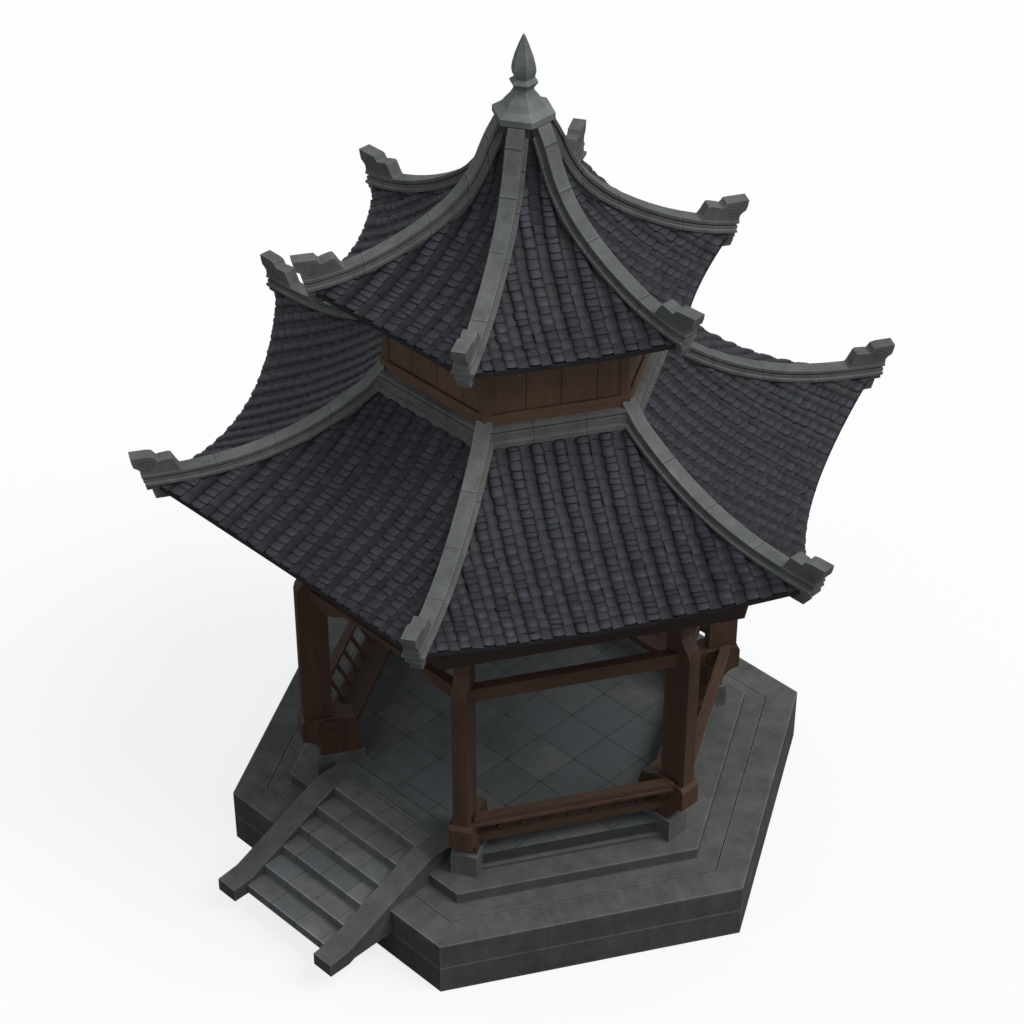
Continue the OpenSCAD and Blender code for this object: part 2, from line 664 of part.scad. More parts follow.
// Crown: a six-sided rim turned so that the hips leave from its flats, with a stem that goes down between
// the ridges to the middle post, a flared cap and a neck.
module turned(points) rotate(30) rotate_extrude($fn = 6) polygon(points);
neck_r = 125;
neck_z = crown_z + 260;
module crown() color(STONE) turned([[0, stem_z], [stem_half / C30, stem_z], [stem_half / C30, crown_base],
    [crown_r - 20, crown_base], [crown_r, crown_base + 20], [crown_r, crown_z],
    [crown_r - 100, crown_z + 52],
    [crown_r - 161, crown_z + 130], [crown_r - 223, crown_z + 200], [neck_r, neck_z], [0, neck_z]]);

// The finial: a sharp ring, then a bulb that tapers to a point.
tip_z = neck_z + finial_h;
module finial() color(STONE) turned([[0, neck_z], [neck_r, neck_z], [neck_r + 1, neck_z + 30],
    [170, neck_z + 86], [173, neck_z + 92], [173, neck_z + 106], [neck_r, neck_z + 140],
    [neck_r - 3, neck_z + 152], [138, neck_z + 180], [149, neck_z + 226], [149, neck_z + 266],
    [138, neck_z + 330], [110, tip_z - 260], [62, tip_z - 130], [18, tip_z - 28], [0, tip_z]]);

plinth_footing();
plinth_kerb();
plinth_deck();
middle_step();
base_course();
floor_slab();
stair_cheeks();
step_1();
step_2();
step_3();
step_4();
step_5();
step_6();
pedestals();
column_feet();
columns();
bench_seats();
bench_rails();
bench_balusters();
tie_beams();
entrance_beam();
head_plates();
head_beams();
eave_beam();
eave_posts();
eave_frieze();
king_post();
hip_rafters();
lower_rafters();
lower_slopes();
lower_ridges();
lower_ridge_ends();
corner_blocks();
collar();
drum_posts();
drum_walls();
drum_sill();
upper_plate();
upper_hip_rafters();
upper_rafters();
upper_slopes();
upper_ridges();
upper_ridge_ends();
crown();
finial();
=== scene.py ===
# Six-sided garden pavilion: roof tiles, carved stone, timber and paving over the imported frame.
import math
import bpy
import numpy as np
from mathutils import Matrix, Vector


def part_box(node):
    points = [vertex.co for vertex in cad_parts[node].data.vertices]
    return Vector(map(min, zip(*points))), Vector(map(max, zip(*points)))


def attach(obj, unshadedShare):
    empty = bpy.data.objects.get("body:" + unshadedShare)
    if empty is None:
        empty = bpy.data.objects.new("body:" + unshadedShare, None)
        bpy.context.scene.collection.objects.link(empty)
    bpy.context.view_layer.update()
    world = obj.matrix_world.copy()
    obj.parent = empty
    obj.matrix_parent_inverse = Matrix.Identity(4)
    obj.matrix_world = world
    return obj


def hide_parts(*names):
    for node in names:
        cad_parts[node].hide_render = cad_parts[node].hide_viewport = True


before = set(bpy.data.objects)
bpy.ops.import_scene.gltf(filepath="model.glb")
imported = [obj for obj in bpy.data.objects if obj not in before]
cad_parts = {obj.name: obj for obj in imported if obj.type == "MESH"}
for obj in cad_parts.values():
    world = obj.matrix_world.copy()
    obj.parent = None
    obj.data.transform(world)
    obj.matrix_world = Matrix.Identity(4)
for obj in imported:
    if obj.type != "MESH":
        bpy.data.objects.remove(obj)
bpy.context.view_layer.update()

print("frame loaded")

cos30 = math.cos(math.pi / 6)


class Wire:
    # one output socket; sums and products of wires add Math nodes to their tree
    def __init__(self, tree, socket):
        self.tree = tree
        self.socket = socket

    def make(self, kind, settings=None, inputs=None, out=0):
        # any node: its settings first, then the values or links of its sockets
        new = self.tree.nodes.new(kind)
        for key, value in (settings or {}).items():
            setattr(new, key, value)
        for key, value in (inputs or {}).items():
            if isinstance(value, Wire):
                self.tree.links.new(value.socket, new.inputs[key])
            else:
                new.inputs[key].default_value = value
        return Wire(self.tree, new.outputs[out] if new.outputs else None)

    def math(self, operation, *others):
        return self.make("ShaderNodeMath", {"operation": operation}, dict(enumerate((self, *others))))

    def __add__(self, other):
        return self.math("ADD", other)

    def __radd__(self, other):
        return self.math("ADD", other)

    def __sub__(self, other):
        return self.math("SUBTRACT", other)

    def __rsub__(self, other):
        return self.make("ShaderNodeMath", {"operation": "SUBTRACT"}, {0: other, 1: self})

    def __mul__(self, other):
        return self.math("MULTIPLY", other)

    def __rmul__(self, other):
        return self.math("MULTIPLY", other)

    def __truediv__(self, other):
        return self.math("DIVIDE", other)

    def step(self, low, high, new=(0.0, 1.0)):
        # a clamped straight ramp from low to high
        return self.make("ShaderNodeMapRange", {"clamp": True},
                         {"Value": self, "From Min": low, "From Max": high,
                          "To Min": new[0], "To Max": new[1]})

    def parts(self):
        split = self.make("ShaderNodeSeparateXYZ", inputs={0: self})
        return [Wire(self.tree, split.socket.node.outputs[i]) for i in range(3)]

    def stretch(self, x, y, z):
        return self.make("ShaderNodeVectorMath", {"operation": "MULTIPLY"}, {0: self, 1: (x, y, z)})

    def near(self, places, width):
        # 1 on thin lines where this wire has one of the given values, 0 away from them
        gaps = [(self - place).math("ABSOLUTE") for place in places]
        nearest = gaps[0]
        for gap in gaps[1:]:
            nearest = nearest.math("MINIMUM", gap)
        return nearest.step(width * 0.5, width, (1.0, 0.0))

    def courses(self, start, size):
        # the whole number of blocks from the start, and how far into its block this wire is, 0 to 1
        count = (self - start) / size
        whole = count.math("FLOOR")
        return whole, count - whole

    def edges(self, share):
        # 1 at both ends of a 0 to 1 stretch, 0 between them
        return (self - 0.5).math("ABSOLUTE").step(0.5 - share, 0.5 - share * 0.4)

    def wornAndLitEdges(self, radius):
        # 1 where a sharp edge of the mesh is within the radius, found by how far a rounded normal turns
        rounded = self.make("ShaderNodeBevel", {"samples": 4}, {"Radius": radius})
        plain = self.make("ShaderNodeNewGeometry", out="Normal")
        same = self.make("ShaderNodeVectorMath", {"operation": "DOT_PRODUCT"}, {0: rounded, 1: plain},
                         out="Value")
        return same.step(0.92, 0.999, (1.0, 0.0))

    def tint(self, shade):
        # this colour times one number
        return self.make("ShaderNodeVectorMath", {"operation": "SCALE"}, {0: self, "Scale": shade})

    def noise(self, scale, detail=4.0, rough=0.55):
        return self.make("ShaderNodeTexNoise", {"noise_dimensions": "3D"},
                         {"Vector": self, "Scale": scale, "Detail": detail, "Roughness": rough})

    def cell(self):
        # one random value for each whole-number vector
        return self.make("ShaderNodeTexWhiteNoise", {"noise_dimensions": "3D"}, {"Vector": self})

    def blend(self, first, second):
        # this wire is the share of the second colour
        return self.make("ShaderNodeMix", {"data_type": "RGBA", "clamp_factor": True},
                         {0: self, 6: first, 7: second}, out=2)


def vector(x, y, z):
    wire = next(w for w in (x, y, z) if isinstance(w, Wire))
    return wire.make("ShaderNodeCombineXYZ", inputs={0: x, 1: y, 2: z})


def newMaterial(name):
    # an empty material and the wire of its Object coordinates
    mat = bpy.data.materials.new(name)
    mat.use_nodes = True
    mat.node_tree.nodes.clear()
    coords = mat.node_tree.nodes.new("ShaderNodeTexCoord")
    return mat, Wire(mat.node_tree, coords.outputs["Object"])


def finishMaterial(mat, here, color, rough, height, depth):
    # base colour, roughness and a bump whose height is in units of depth
    bump = here.make("ShaderNodeBump", inputs={"Height": height, "Distance": depth, "Strength": 1.0})
    shader = here.make("ShaderNodeBsdfPrincipled",
                       inputs={"Base Color": color, "Roughness": rough, "Specular IOR Level": 0.3,
                               "Normal": bump})
    shader.make("ShaderNodeOutputMaterial", inputs={"Surface": shader})
    return mat


def paint(names, mat):
    for name in names.split():
        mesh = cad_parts[name].data
        mesh.materials.clear()
        mesh.materials.append(mat)


# where the first sixth of the pavilion lies: round the corner at +X, or round the middle of a side
cornerTurn = 0.0
sideTurn = -math.pi / 6


def sector(here, first):
    # turns each sixth of the pavilion onto the first one: x is out, y along the side, z up
    x, y, z = here.parts()
    turn = ((y.math("ARCTAN2", x) - first) / (math.pi / 3)).math("ROUND")
    local = here.make("ShaderNodeVectorRotate", {"rotation_type": "Z_AXIS"},
                      {"Vector": here, "Angle": -1.0 * (turn * (math.pi / 3) + first)})
    return local, turn


def blockTone(whole, other, turn, spread):
    # a shade of its own for each block
    return vector(whole + 0.5, other + 0.5, turn + 0.5).cell().step(0.0, 1.0, (1 - spread, 1 + spread))


def curl(dx, dz, turns, hand, start):
    # the waves of a spiral round a point, and the distance from that point
    far = (dx * dx + dz * dz).math("SQRT")
    return (far * turns + dz.math("ARCTAN2", dx) * hand + start).math("SINE"), far


stoneSettings = dict(tone=(0.070, 0.074, 0.069), other=(0.088, 0.091, 0.085), blue=(0.071, 0.082, 0.087),
                     rough=0.88, relief=0.006, edge=0.034, wearAndHighlight=0.45, upright=0.64)


def stoneColor(here, s):
    # cloudy grey with fine grit: colour, and a height for the bump
    mottle = here.noise(4.5, 6.0, 0.62)
    grit = here.noise(60.0, 3.0, 0.7)
    color = here.noise(0.8, 3.0).step(0.35, 0.65).blend((*s["tone"], 1), (*s["other"], 1))
    color = color.tint(mottle.step(0.25, 0.75, (0.74, 1.26)) * grit.step(0.3, 0.7, (0.88, 1.12)))
    return color, mottle + grit * 0.25


def finishStone(name, s, marks=None):
    # marks makes joints and wear from the coordinates: a shade, a height, and a share of blue or None
    mat, here = newMaterial(name)
    color, height = stoneColor(here, s)
    shade, cut, blue = marks(here) if marks else (1.0, 0.0, None)
    if blue:
        color = blue.blend(color, (*s["blue"], 1))
    # upright faces are painted darker than the tops as shade, and sharp edges are painted pale, partly wear
    # and partly a painted highlight
    up = here.make("ShaderNodeNewGeometry", out="Normal").parts()[2].math("ABSOLUTE")
    color = color.tint(here.wornAndLitEdges(s["edge"]) * s["wearAndHighlight"] + up.step(0.1, 0.8, (s["upright"], 1.0)))
    return finishMaterial(mat, here, color.tint(shade), s["rough"], height + cut, s["relief"])


def rimWearAndHighlight(here):
    # a shade: pale strips along the top outer edges of the six-sided courses, partly wear and partly a
    # painted highlight
    x, y, z = sector(here, sideTurn)[0].parts()
    wavy = here.noise(3.0, 4.0) * 0.016 + 0.014
    rim = 0.0
    for name in ("plinth_kerb", "middle_step", "base_course", "floor_slab"):
        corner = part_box(name)[1]
        face, top = corner[0] * cos30, corner[2]
        strip = (x + wavy).step(face - 0.002, face + 0.004) * (z + wavy).step(top - 0.002, top + 0.004)
        inside = x.step(face + 0.002, face + 0.004, (1.0, 0.0)) * z.step(top + 0.002, top + 0.004, (1.0, 0.0))
        rim = (strip * inside).math("MAXIMUM", rim)
    return rim * 0.2 + 1


def rimMarks(here):
    return rimWearAndHighlight(here), 0.0, None


plinthSettings = dict(stoneSettings, courseTop=0.415, shift=0.7, start=-7.0, length=1.42, litLedgeWidth=0.012)


def plinthMarks(here):
    # upright joints between long stones, a painted highlight along the lip at the top of the footing, rain
    # marks down the faces
    s = plinthSettings
    local, turn = sector(here, sideTurn)
    x, y, z = local.parts()
    upper = z.step(s["courseTop"], s["courseTop"] + 0.001)
    whole, part = (y + upper * s["shift"]).courses(s["start"], s["length"])
    # the lip line is a painted highlight, the lit ledge of the footing
    lip = z.near((s["courseTop"] - s["litLedgeWidth"] / 2,), s["litLedgeWidth"])
    drips = vector(y, 0.0, z * 0.08).noise(7.0, 4.0).step(0.35, 0.7, (0.90, 1.08))
    shade = blockTone(whole, upper, turn, 0.03) * drips * (1 + lip * 0.5) * rimWearAndHighlight(here)
    return shade, part.edges(0.004) * -0.6, None


treadSettings = dict(stoneSettings, first=2.414, depth=0.314, start=-5.0, block=0.47)


def treadMarks(here):
    # blocks side by side in each tread, some of them bluish, painted shade at the back by the next riser and
    # a worn pale nosing
    s = treadSettings
    x, y, z = here.parts()
    tread, depth = (y * -1.0).courses(s["first"], s["depth"])
    shift = vector(tread + 0.5, 0.5, 0.5).cell()
    whole, part = (x + shift * 0.5).courses(s["start"], s["block"])
    joint = part.edges(0.014)
    nose = (depth + here.noise(6.0, 3.0) * 0.08).step(0.965, 1.0)
    dirtAndShade = depth.step(0.0, 0.16, (0.62, 1.0))
    blue = vector(whole + 0.5, tread + 0.5, 3.5).cell().step(0.66, 0.74, (0.0, 0.60))
    # the factor 1.42 paints the treads paler all over, as painted light where the roof shades them
    shade = blockTone(whole, tread, 0.0, 0.10) * (1 - joint * 0.32) * (1 + nose * 0.30) * dirtAndShade * 1.42
    return shade, joint * -1.5, blue


pavingSettings = dict(stoneSettings, tone=(0.070, 0.076, 0.074), other=(0.081, 0.086, 0.083),
                      blue=(0.071, 0.079, 0.084), start=(-64.210, -65.185), slab=(0.640, 0.632),
                      border=-2.190, stair=-2.392, top=1.2)


def slabMarks(here):
    # square slabs with thin dirty joints on the top of the floor, a paler border strip by the stair, and
    # painted shade on the faces below the top
    s = pavingSettings
    x, y, z = here.parts()
    slabX, partX = x.courses(s["start"][0], s["slab"][0])
    slabY, partY = y.courses(s["start"][1], s["slab"][1])
    joint = partX.edges(0.011).math("MAXIMUM", partY.edges(0.011)) * y.step(s["border"] - 0.01, s["border"])
    joint = joint.math("MAXIMUM", y.near((s["border"], s["stair"]), 0.010))
    inside = y.step(s["border"] - 0.001, s["border"])
    top = z.step(s["top"] - 0.01, s["top"])
    dirtAndShade = partX.edges(0.07) * partY.edges(0.07) * here.noise(5.0, 3.0).step(0.44, 0.56)
    tone = blockTone(slabX, slabY, 0.0, 0.07) * (1.10 - inside * 0.10)
    blue = vector(slabX + 0.5, slabY + 0.5, 5.5).cell().step(0.3, 1.0, (0.0, 0.7))
    # the faces below the top get 0.62 as painted shade
    shade = (1 - top) * 0.62 + top * tone * (1 - joint * 0.42) * (1 - dirtAndShade * 0.30)
    return shade, joint * -1.5 * top, blue * top * inside


# joints and scrolls of the lower and the upper roof: joints by how far out they lie, scrolls by out and up
ridgeSettings = dict(tone=(0.088, 0.094, 0.089), other=(0.108, 0.113, 0.106), rough=0.85, relief=0.004,
                     edge=0.022, wearAndHighlight=0.45, upright=0.82, between=7.6,
                     lowerJoints=(2.44, 3.13, 3.88), upperJoints=(0.45, 0.69, 1.15, 1.96),
                     lowerScroll=(4.720, 6.384), upperScroll=(2.610, 8.812), block=0.72, start=0.2)


def ridgeMarks(here):
    # joints square to the hips, each with a pale lip painted as a highlight, and the scrolls on the curled
    # ends, their grooves painted darker as shade
    s = ridgeSettings
    local, turn = sector(here, cornerTurn)
    x, y, z = local.parts()
    upper = z.step(s["between"], s["between"] + 0.01)

    def lines(shift, width):
        return (x.near([place + shift for place in s["lowerJoints"]], width) * (1 - upper)
                + x.near([place + shift for place in s["upperJoints"]], width) * upper)

    # lip: a pale line beside each joint, a painted highlight
    joint, lip = lines(0.0, 0.007), lines(-0.015, 0.008)
    whole = x.courses(s["start"], s["block"])[0]
    (outLow, upLow), (outHigh, upHigh) = s["lowerScroll"], s["upperScroll"]
    wave, far = curl(x - (upper * (outHigh - outLow) + outLow), z - (upper * (upHigh - upLow) + upLow),
                     150.0, -1.0, 0.0)
    scroll = wave.step(-0.2, 0.5) * far.step(0.085, 0.10, (1.0, 0.0)) * y.math("ABSOLUTE").step(0.08, 0.083)
    shade = blockTone(whole, upper, turn, 0.05) * (1 - joint * 0.32 + lip * 0.22) * (1 - scroll * 0.128)
    return shade, joint * -1.5 - scroll * 1.12, None


collarSettings = dict(ridgeSettings, tone=(0.084, 0.089, 0.085), other=(0.102, 0.107, 0.101),
                      joints=(-0.31, 0.34), start=-3.02, block=0.65)


def collarMarks(here):
    # joints across each side of the collar
    s = collarSettings
    local, turn = sector(here, sideTurn)
    x, y, z = local.parts()
    joint = y.near(s["joints"], 0.007)
    whole = y.courses(s["start"], s["block"])[0]
    return blockTone(whole, 0.0, turn, 0.05) * (1 - joint * 0.4), joint * -1.5, None


pedestalSettings = dict(stoneSettings, tone=(0.084, 0.089, 0.083), other=(0.100, 0.104, 0.098), upright=0.78)
crownSettings = dict(ridgeSettings, tone=(0.113, 0.120, 0.116), other=(0.134, 0.141, 0.136))

paint("plinth_footing plinth_kerb", finishStone("plinthStone", plinthSettings, plinthMarks))
paint("plinth_deck middle_step base_course stair_cheeks", finishStone("plainStone", stoneSettings, rimMarks))
paint("pedestals", finishStone("pedestalStone", pedestalSettings))
paint("step_1 step_2 step_3 step_4 step_5 step_6", finishStone("treadStone", treadSettings, treadMarks))
paint("floor_slab", finishStone("paving", pavingSettings, slabMarks))
paint("lower_ridges upper_ridges lower_ridge_ends upper_ridge_ends corner_blocks",
      finishStone("ridgeStone", ridgeSettings, ridgeMarks))
paint("collar", finishStone("collarStone", collarSettings, collarMarks))
paint("crown finial", finishStone("crownStone", crownSettings))
print("stone done")

timberSettings = dict(tone=(0.073, 0.038, 0.024), dark=(0.038, 0.019, 0.0125), rough=0.62, relief=0.003,
                      edge=0.012)


def timberMaterial(name, s, grain, marks=None):
    # grain runs up (up), along the sides (side), or out from the middle (out); marks makes joints and
    # carving from the coordinates: a shade and a height
    mat, here = newMaterial(name)
    if grain == "up":
        grainAt = here.stretch(1, 1, 0.07)
    elif grain == "side":
        grainAt = sector(here, sideTurn)[0].stretch(1, 0.07, 1)
    else:
        grainAt = sector(here, cornerTurn)[0].stretch(0.07, 1, 1)
    broad = grainAt.noise(5.0, 4.0, 0.6)
    fine = grainAt.noise(34.0, 5.0, 0.65)
    color = (broad * 0.5 + fine * 0.5).step(0.32, 0.68).blend((*s["dark"], 1), (*s["tone"], 1))
    shade, cut = marks(here) if marks else (1.0, 0.0)
    # edges are painted pale, partly wear and partly a painted highlight
    shade = (here.wornAndLitEdges(s["edge"]) * 0.50 + here.noise(1.3, 3.0).step(0.3, 0.7, (0.9, 1.1))) * shade
    return finishMaterial(mat, here, color.tint(shade), s["rough"], fine + broad * 0.6 + cut, s["relief"])


footSettings = dict(timberSettings, scroll=(2.66, 1.78), reach=0.185, side=0.085)


def footMarks(here):
    # a scroll cut in the flat sides of the carved feet, its groove painted darker as shade
    s = footSettings
    x, y, z = sector(here, cornerTurn)[0].parts()
    wave, far = curl(x - s["scroll"][0], z - s["scroll"][1], 46.0, 1.0, 0.6)
    groove = wave.step(0.35, 0.95) * far.step(s["reach"], s["reach"] + 0.015, (1.0, 0.0))
    groove = groove * y.math("ABSOLUTE").step(s["side"], s["side"] + 0.01)
    return 1 - groove * 0.35, groove * -3.0


drumSettings = dict(tone=(0.102, 0.057, 0.034), dark=(0.064, 0.035, 0.021), rough=0.68, relief=0.003,
                    edge=0.008, joints=(-0.37, 0.06, 0.50), start=-3.35, board=0.43)


def drumMarks(here):
    # joints between the upright boards of the drum
    s = drumSettings
    local, turn = sector(here, sideTurn)
    x, y, z = local.parts()
    joint = y.near(s["joints"], 0.008)
    whole = y.courses(s["start"], s["board"])[0]
    return blockTone(whole, 0.0, turn, 0.10) * (1 - joint * 0.6), joint * -2.0


seatSettings = dict(timberSettings, tone=(0.068, 0.036, 0.0235))
# a darker copy of the timber: painted shade for the beams and rafters under the eaves and the boards under
# the tiles
shadedTimberSettings = dict(timberSettings, tone=(0.036, 0.019, 0.0125), dark=(0.018, 0.0095, 0.0065))
drumPostSettings = dict(drumSettings, tone=(0.080, 0.045, 0.028))
sillSettings = dict(drumSettings, tone=(0.120, 0.068, 0.045))

paint("column_feet", timberMaterial("footTimber", footSettings, "up", footMarks))
paint("columns eave_posts king_post bench_balusters", timberMaterial("postTimber", timberSettings, "up"))
paint("tie_beams entrance_beam bench_rails", timberMaterial("beamTimber", timberSettings, "side"))
paint("bench_seats", timberMaterial("seatTimber", seatSettings, "side"))
paint("head_plates head_beams eave_beam eave_frieze upper_plate",
      timberMaterial("eaveTimber", shadedTimberSettings, "side"))
paint("hip_rafters upper_hip_rafters lower_rafters upper_rafters",
      timberMaterial("rafterTimber", shadedTimberSettings, "out"))
paint("drum_walls", timberMaterial("drumBoards", drumSettings, "up", drumMarks))
paint("drum_posts", timberMaterial("drumPosts", drumPostSettings, "up"))
paint("drum_sill", timberMaterial("drumSill", sillSettings, "side"))
print("timber done")

ridgeHalf = 0.098 / cos30


def lowerHip(t):
    # the curves of the hips as the frame has them, t from 0 at the top to 1 at the eave
    return 6.117 + 0.862 * np.maximum(1 - t, 0) ** 2.44


def upperHip(t):
    s = np.minimum(1 - t, 0.9715)
    return (8.545 + 0.271 * s + 0.965 * s * s + 0.585 * np.maximum(s, 0) ** 11.4
            + 4.165 * np.maximum(0.0285 - t, 0))


# hips and middles: radii of the hips and of the middles of the slopes, at the top and at the eave; drop:
# how far the middle of the eave hangs below its corners; rows: cover rows on a slope; boards: boards
# under them, deck lower than the tiles
roofs = {
    "lower": dict(hips=(1.888, 4.636), middles=(1.635, 3.700), height=lowerHip, drop=0.377, rows=15,
                  boards=24, deck=0.045, seed=27),
    "upper": dict(hips=(0.2743, 2.588), middles=(0.2376, 2.0963), height=upperHip, drop=0.133, rows=8,
                  boards=14, deck=0.047, seed=20),
}


def between(ends, t):
    return ends[0] + (ends[1] - ends[0]) * t


def rowHalf(roof, t):
    return between(roof["hips"], t) / 2 - ridgeHalf


def slopePoint(roof, x, t):
    # out = middle + (hip cos 30 - middle) u^2 and z = hip height - drop t^2.4 (1 - u^2), u = x / row half
    u2 = (x / rowHalf(roof, t)) ** 2
    middle = between(roof["middles"], t)
    out = middle + (between(roof["hips"], t) * cos30 - middle) * u2
    z = roof["height"](t) - roof["drop"] * np.maximum(t, 0) ** 2.4 * (1 - u2)
    return np.stack([x, -out, z], axis=-1)


def raisedPoint(roof, x, t, height):
    # the surface point moved along the surface's normal; the ridges cut off what passes them
    limit = rowHalf(roof, t)
    x = np.sign(x) * (np.minimum(np.abs(x), limit) + 0.03 * np.maximum(np.abs(x) - limit, 0))
    place = slopePoint(roof, x, t)
    normal = np.cross(slopePoint(roof, x, t + 0.002) - place, slopePoint(roof, x + 0.004, t) - place)
    normal /= np.linalg.norm(normal, axis=-1, keepdims=True)
    normal *= np.sign(normal[..., 2:3])
    # the roof is thin where it is steep, so there it is all raised clear of the rafters
    thin = np.maximum(0.046 - 0.0715 * normal[..., 2], 0)
    return place + normal * (height + thin)[..., None]


def ringFaces(rings, n):
    # four-sided faces between rings of n points that follow each other
    ring = np.arange(n)
    return np.concatenate([np.stack([k * n + ring, k * n + (ring + 1) % n,
                                     (k + 1) * n + (ring + 1) % n, (k + 1) * n + ring], axis=1)
                           for k in range(rings - 1)])


# over: how far a row hangs past the eave; hidden: the length under the next tile; inset: how far a row
# may run in under the ridge; bed: where the bottoms lie; flat: where the tiles get flatter and how much
rowSettings = dict(pitch=0.285, over=0.022, hidden=0.030, inset=0.075, stations=90, most=80, shortest=0.05,
                   bed=-0.012, flat=(0.96, 0.5), widths=(0.93, 1.06), lifts=0.003, shifts=0.008, skew=0.09)
# across and heights: the outline of a tile; back, width and lift: its rings from the front to the back
coverShape = dict(half=0.088, across=(-1, -0.93, -0.70, -0.38, 0, 0.38, 0.70, 0.93, 1),
                  heights=(-0.034, -0.012, 0.003, 0.011, 0.014, 0.011, 0.003, -0.012, -0.034),
                  back=(0, 0.10, 0.5, 1), width=(0.93, 1.0, 1.0, 0.96), lift=(-0.004, 0.009, 0.001, -0.009),
                  curve=0.022, lengths=(0.062, 0.140))
channelShape = dict(half=0.068, across=(-1, -0.55, 0, 0.55, 1, 1, -1),
                    heights=(-0.012, -0.022, -0.025, -0.022, -0.012, -0.050, -0.050),
                    back=(0, 0.07, 1), width=(0.95, 1.0, 1.0), lift=(-0.004, 0.004, -0.008),
                    curve=-0.006, lengths=(0.115, 0.185))


def layRows(rng, roof, shape, rowPlaces):
    # one closed tile after another up each row, from the eave to the head of the slope
    s = rowSettings
    across, tall = np.array(shape["across"], float), np.array(shape["heights"])
    share, width, rise = [np.array(shape[key])[None, :, None] for key in ("back", "width", "lift")]
    n, rings = len(across), len(shape["back"])
    points, tones, fronts, sides = [], [], [], []
    for row in rowPlaces:
        # how far along the slope each tile's front edge lies
        top, eave = roof["hips"]
        start = max(0.0, ((abs(row) - s["inset"] + ridgeHalf) * 2 - top) / (eave - top))
        ts = np.linspace(start, 1.0, s["stations"])
        line = slopePoint(roof, np.full_like(ts, row), ts)
        arc = np.concatenate([[0], np.cumsum(np.linalg.norm(np.diff(line, axis=0), axis=1))])
        lengths = rng.uniform(*shape["lengths"], s["most"])
        fronted = arc[-1] + s["over"] - np.concatenate([[0], np.cumsum(lengths)[:-1]])
        keep = fronted > s["shortest"]
        fronted, lengths = fronted[keep], lengths[keep]
        m = len(fronted)
        # every tile differs a little in width, height, place and angle
        wide = width * rng.uniform(*s["widths"], (m, 1, 1))
        lift = rise + rng.uniform(-s["lifts"], s["lifts"], (m, 1, 1))
        x = shape["half"] * wide * across[None, None, :] + rng.uniform(-s["shifts"], s["shifts"], (m, 1, 1))
        behind = share * (lengths[:, None, None] + s["hidden"]) + np.zeros_like(x)
        behind = (behind + shape["curve"] * across ** 2 * (1 - share)
                  + x * rng.uniform(-s["skew"], s["skew"], (m, 1, 1)))
        along = fronted[:, None, None] - behind
        beyond = (1.0 - ts[-2]) / (arc[-1] - arc[-2])
        t = np.interp(along, arc, ts) + np.maximum(along - arc[-1], 0) * beyond
        flat = np.interp(t, (s["flat"][0], 1.0), (1.0, s["flat"][1]))
        height = s["bed"] + (tall[None, None, :] + lift - s["bed"]) * flat
        points.append(raisedPoint(roof, row + x, t, height).reshape(-1, 3))
        tones.append(np.repeat(rng.uniform(0, 1, m), n * rings))
        fronts.append(behind.reshape(-1))
        sides.append(np.broadcast_to(across, x.shape).reshape(-1))
    points = np.concatenate(points)
    firsts = (np.arange(len(points) // (n * rings)) * n * rings)[:, None, None]
    ring = np.arange(n)
    faces = (ringFaces(rings, n)[None] + firsts).reshape(-1, 4).tolist()
    faces += (ring[None, ::-1] + firsts[:, 0]).tolist()
    faces += (ring[None] + (rings - 1) * n + firsts[:, 0]).tolist()
    return points, faces, np.concatenate(tones), np.concatenate(fronts), np.concatenate(sides)


def turned(points, k):
    # the slope built towards -Y, turned to side k
    c, s = math.cos(math.pi / 3 * k), math.sin(math.pi / 3 * k)
    return points @ np.array([[c, s, 0], [-s, c, 0], [0, 0, 1]])


def addPiece(name, points, faces, mat, nodes, values=None, angle=None):
    # values are kept on the points for the material; angle is where smooth shading breaks, in degrees
    mesh = bpy.data.meshes.new(name)
    mesh.from_pydata(points.tolist(), [], faces)
    for key, data in (values or {}).items():
        mesh.attributes.new(key, "FLOAT", "POINT").data.foreach_set("value", data.astype(np.float32))
    if angle:
        mesh.polygons.foreach_set("use_smooth", np.ones(len(mesh.polygons), bool))
        mesh.set_sharp_from_angle(angle=math.radians(angle))
    mesh.materials.append(mat)
    piece = bpy.data.objects.new(name, mesh)
    bpy.context.scene.collection.objects.link(piece)
    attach(piece, "root")
    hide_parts(*nodes)


# dark is the colour of the painted shade at the tile edges
tileSettings = dict(cool=(0.0228, 0.0252, 0.0345), warm=(0.0140, 0.0128, 0.0168),
                    dark=(0.0094, 0.0086, 0.0110), lichen=(0.075, 0.048, 0.024), rough=0.58, relief=0.004)


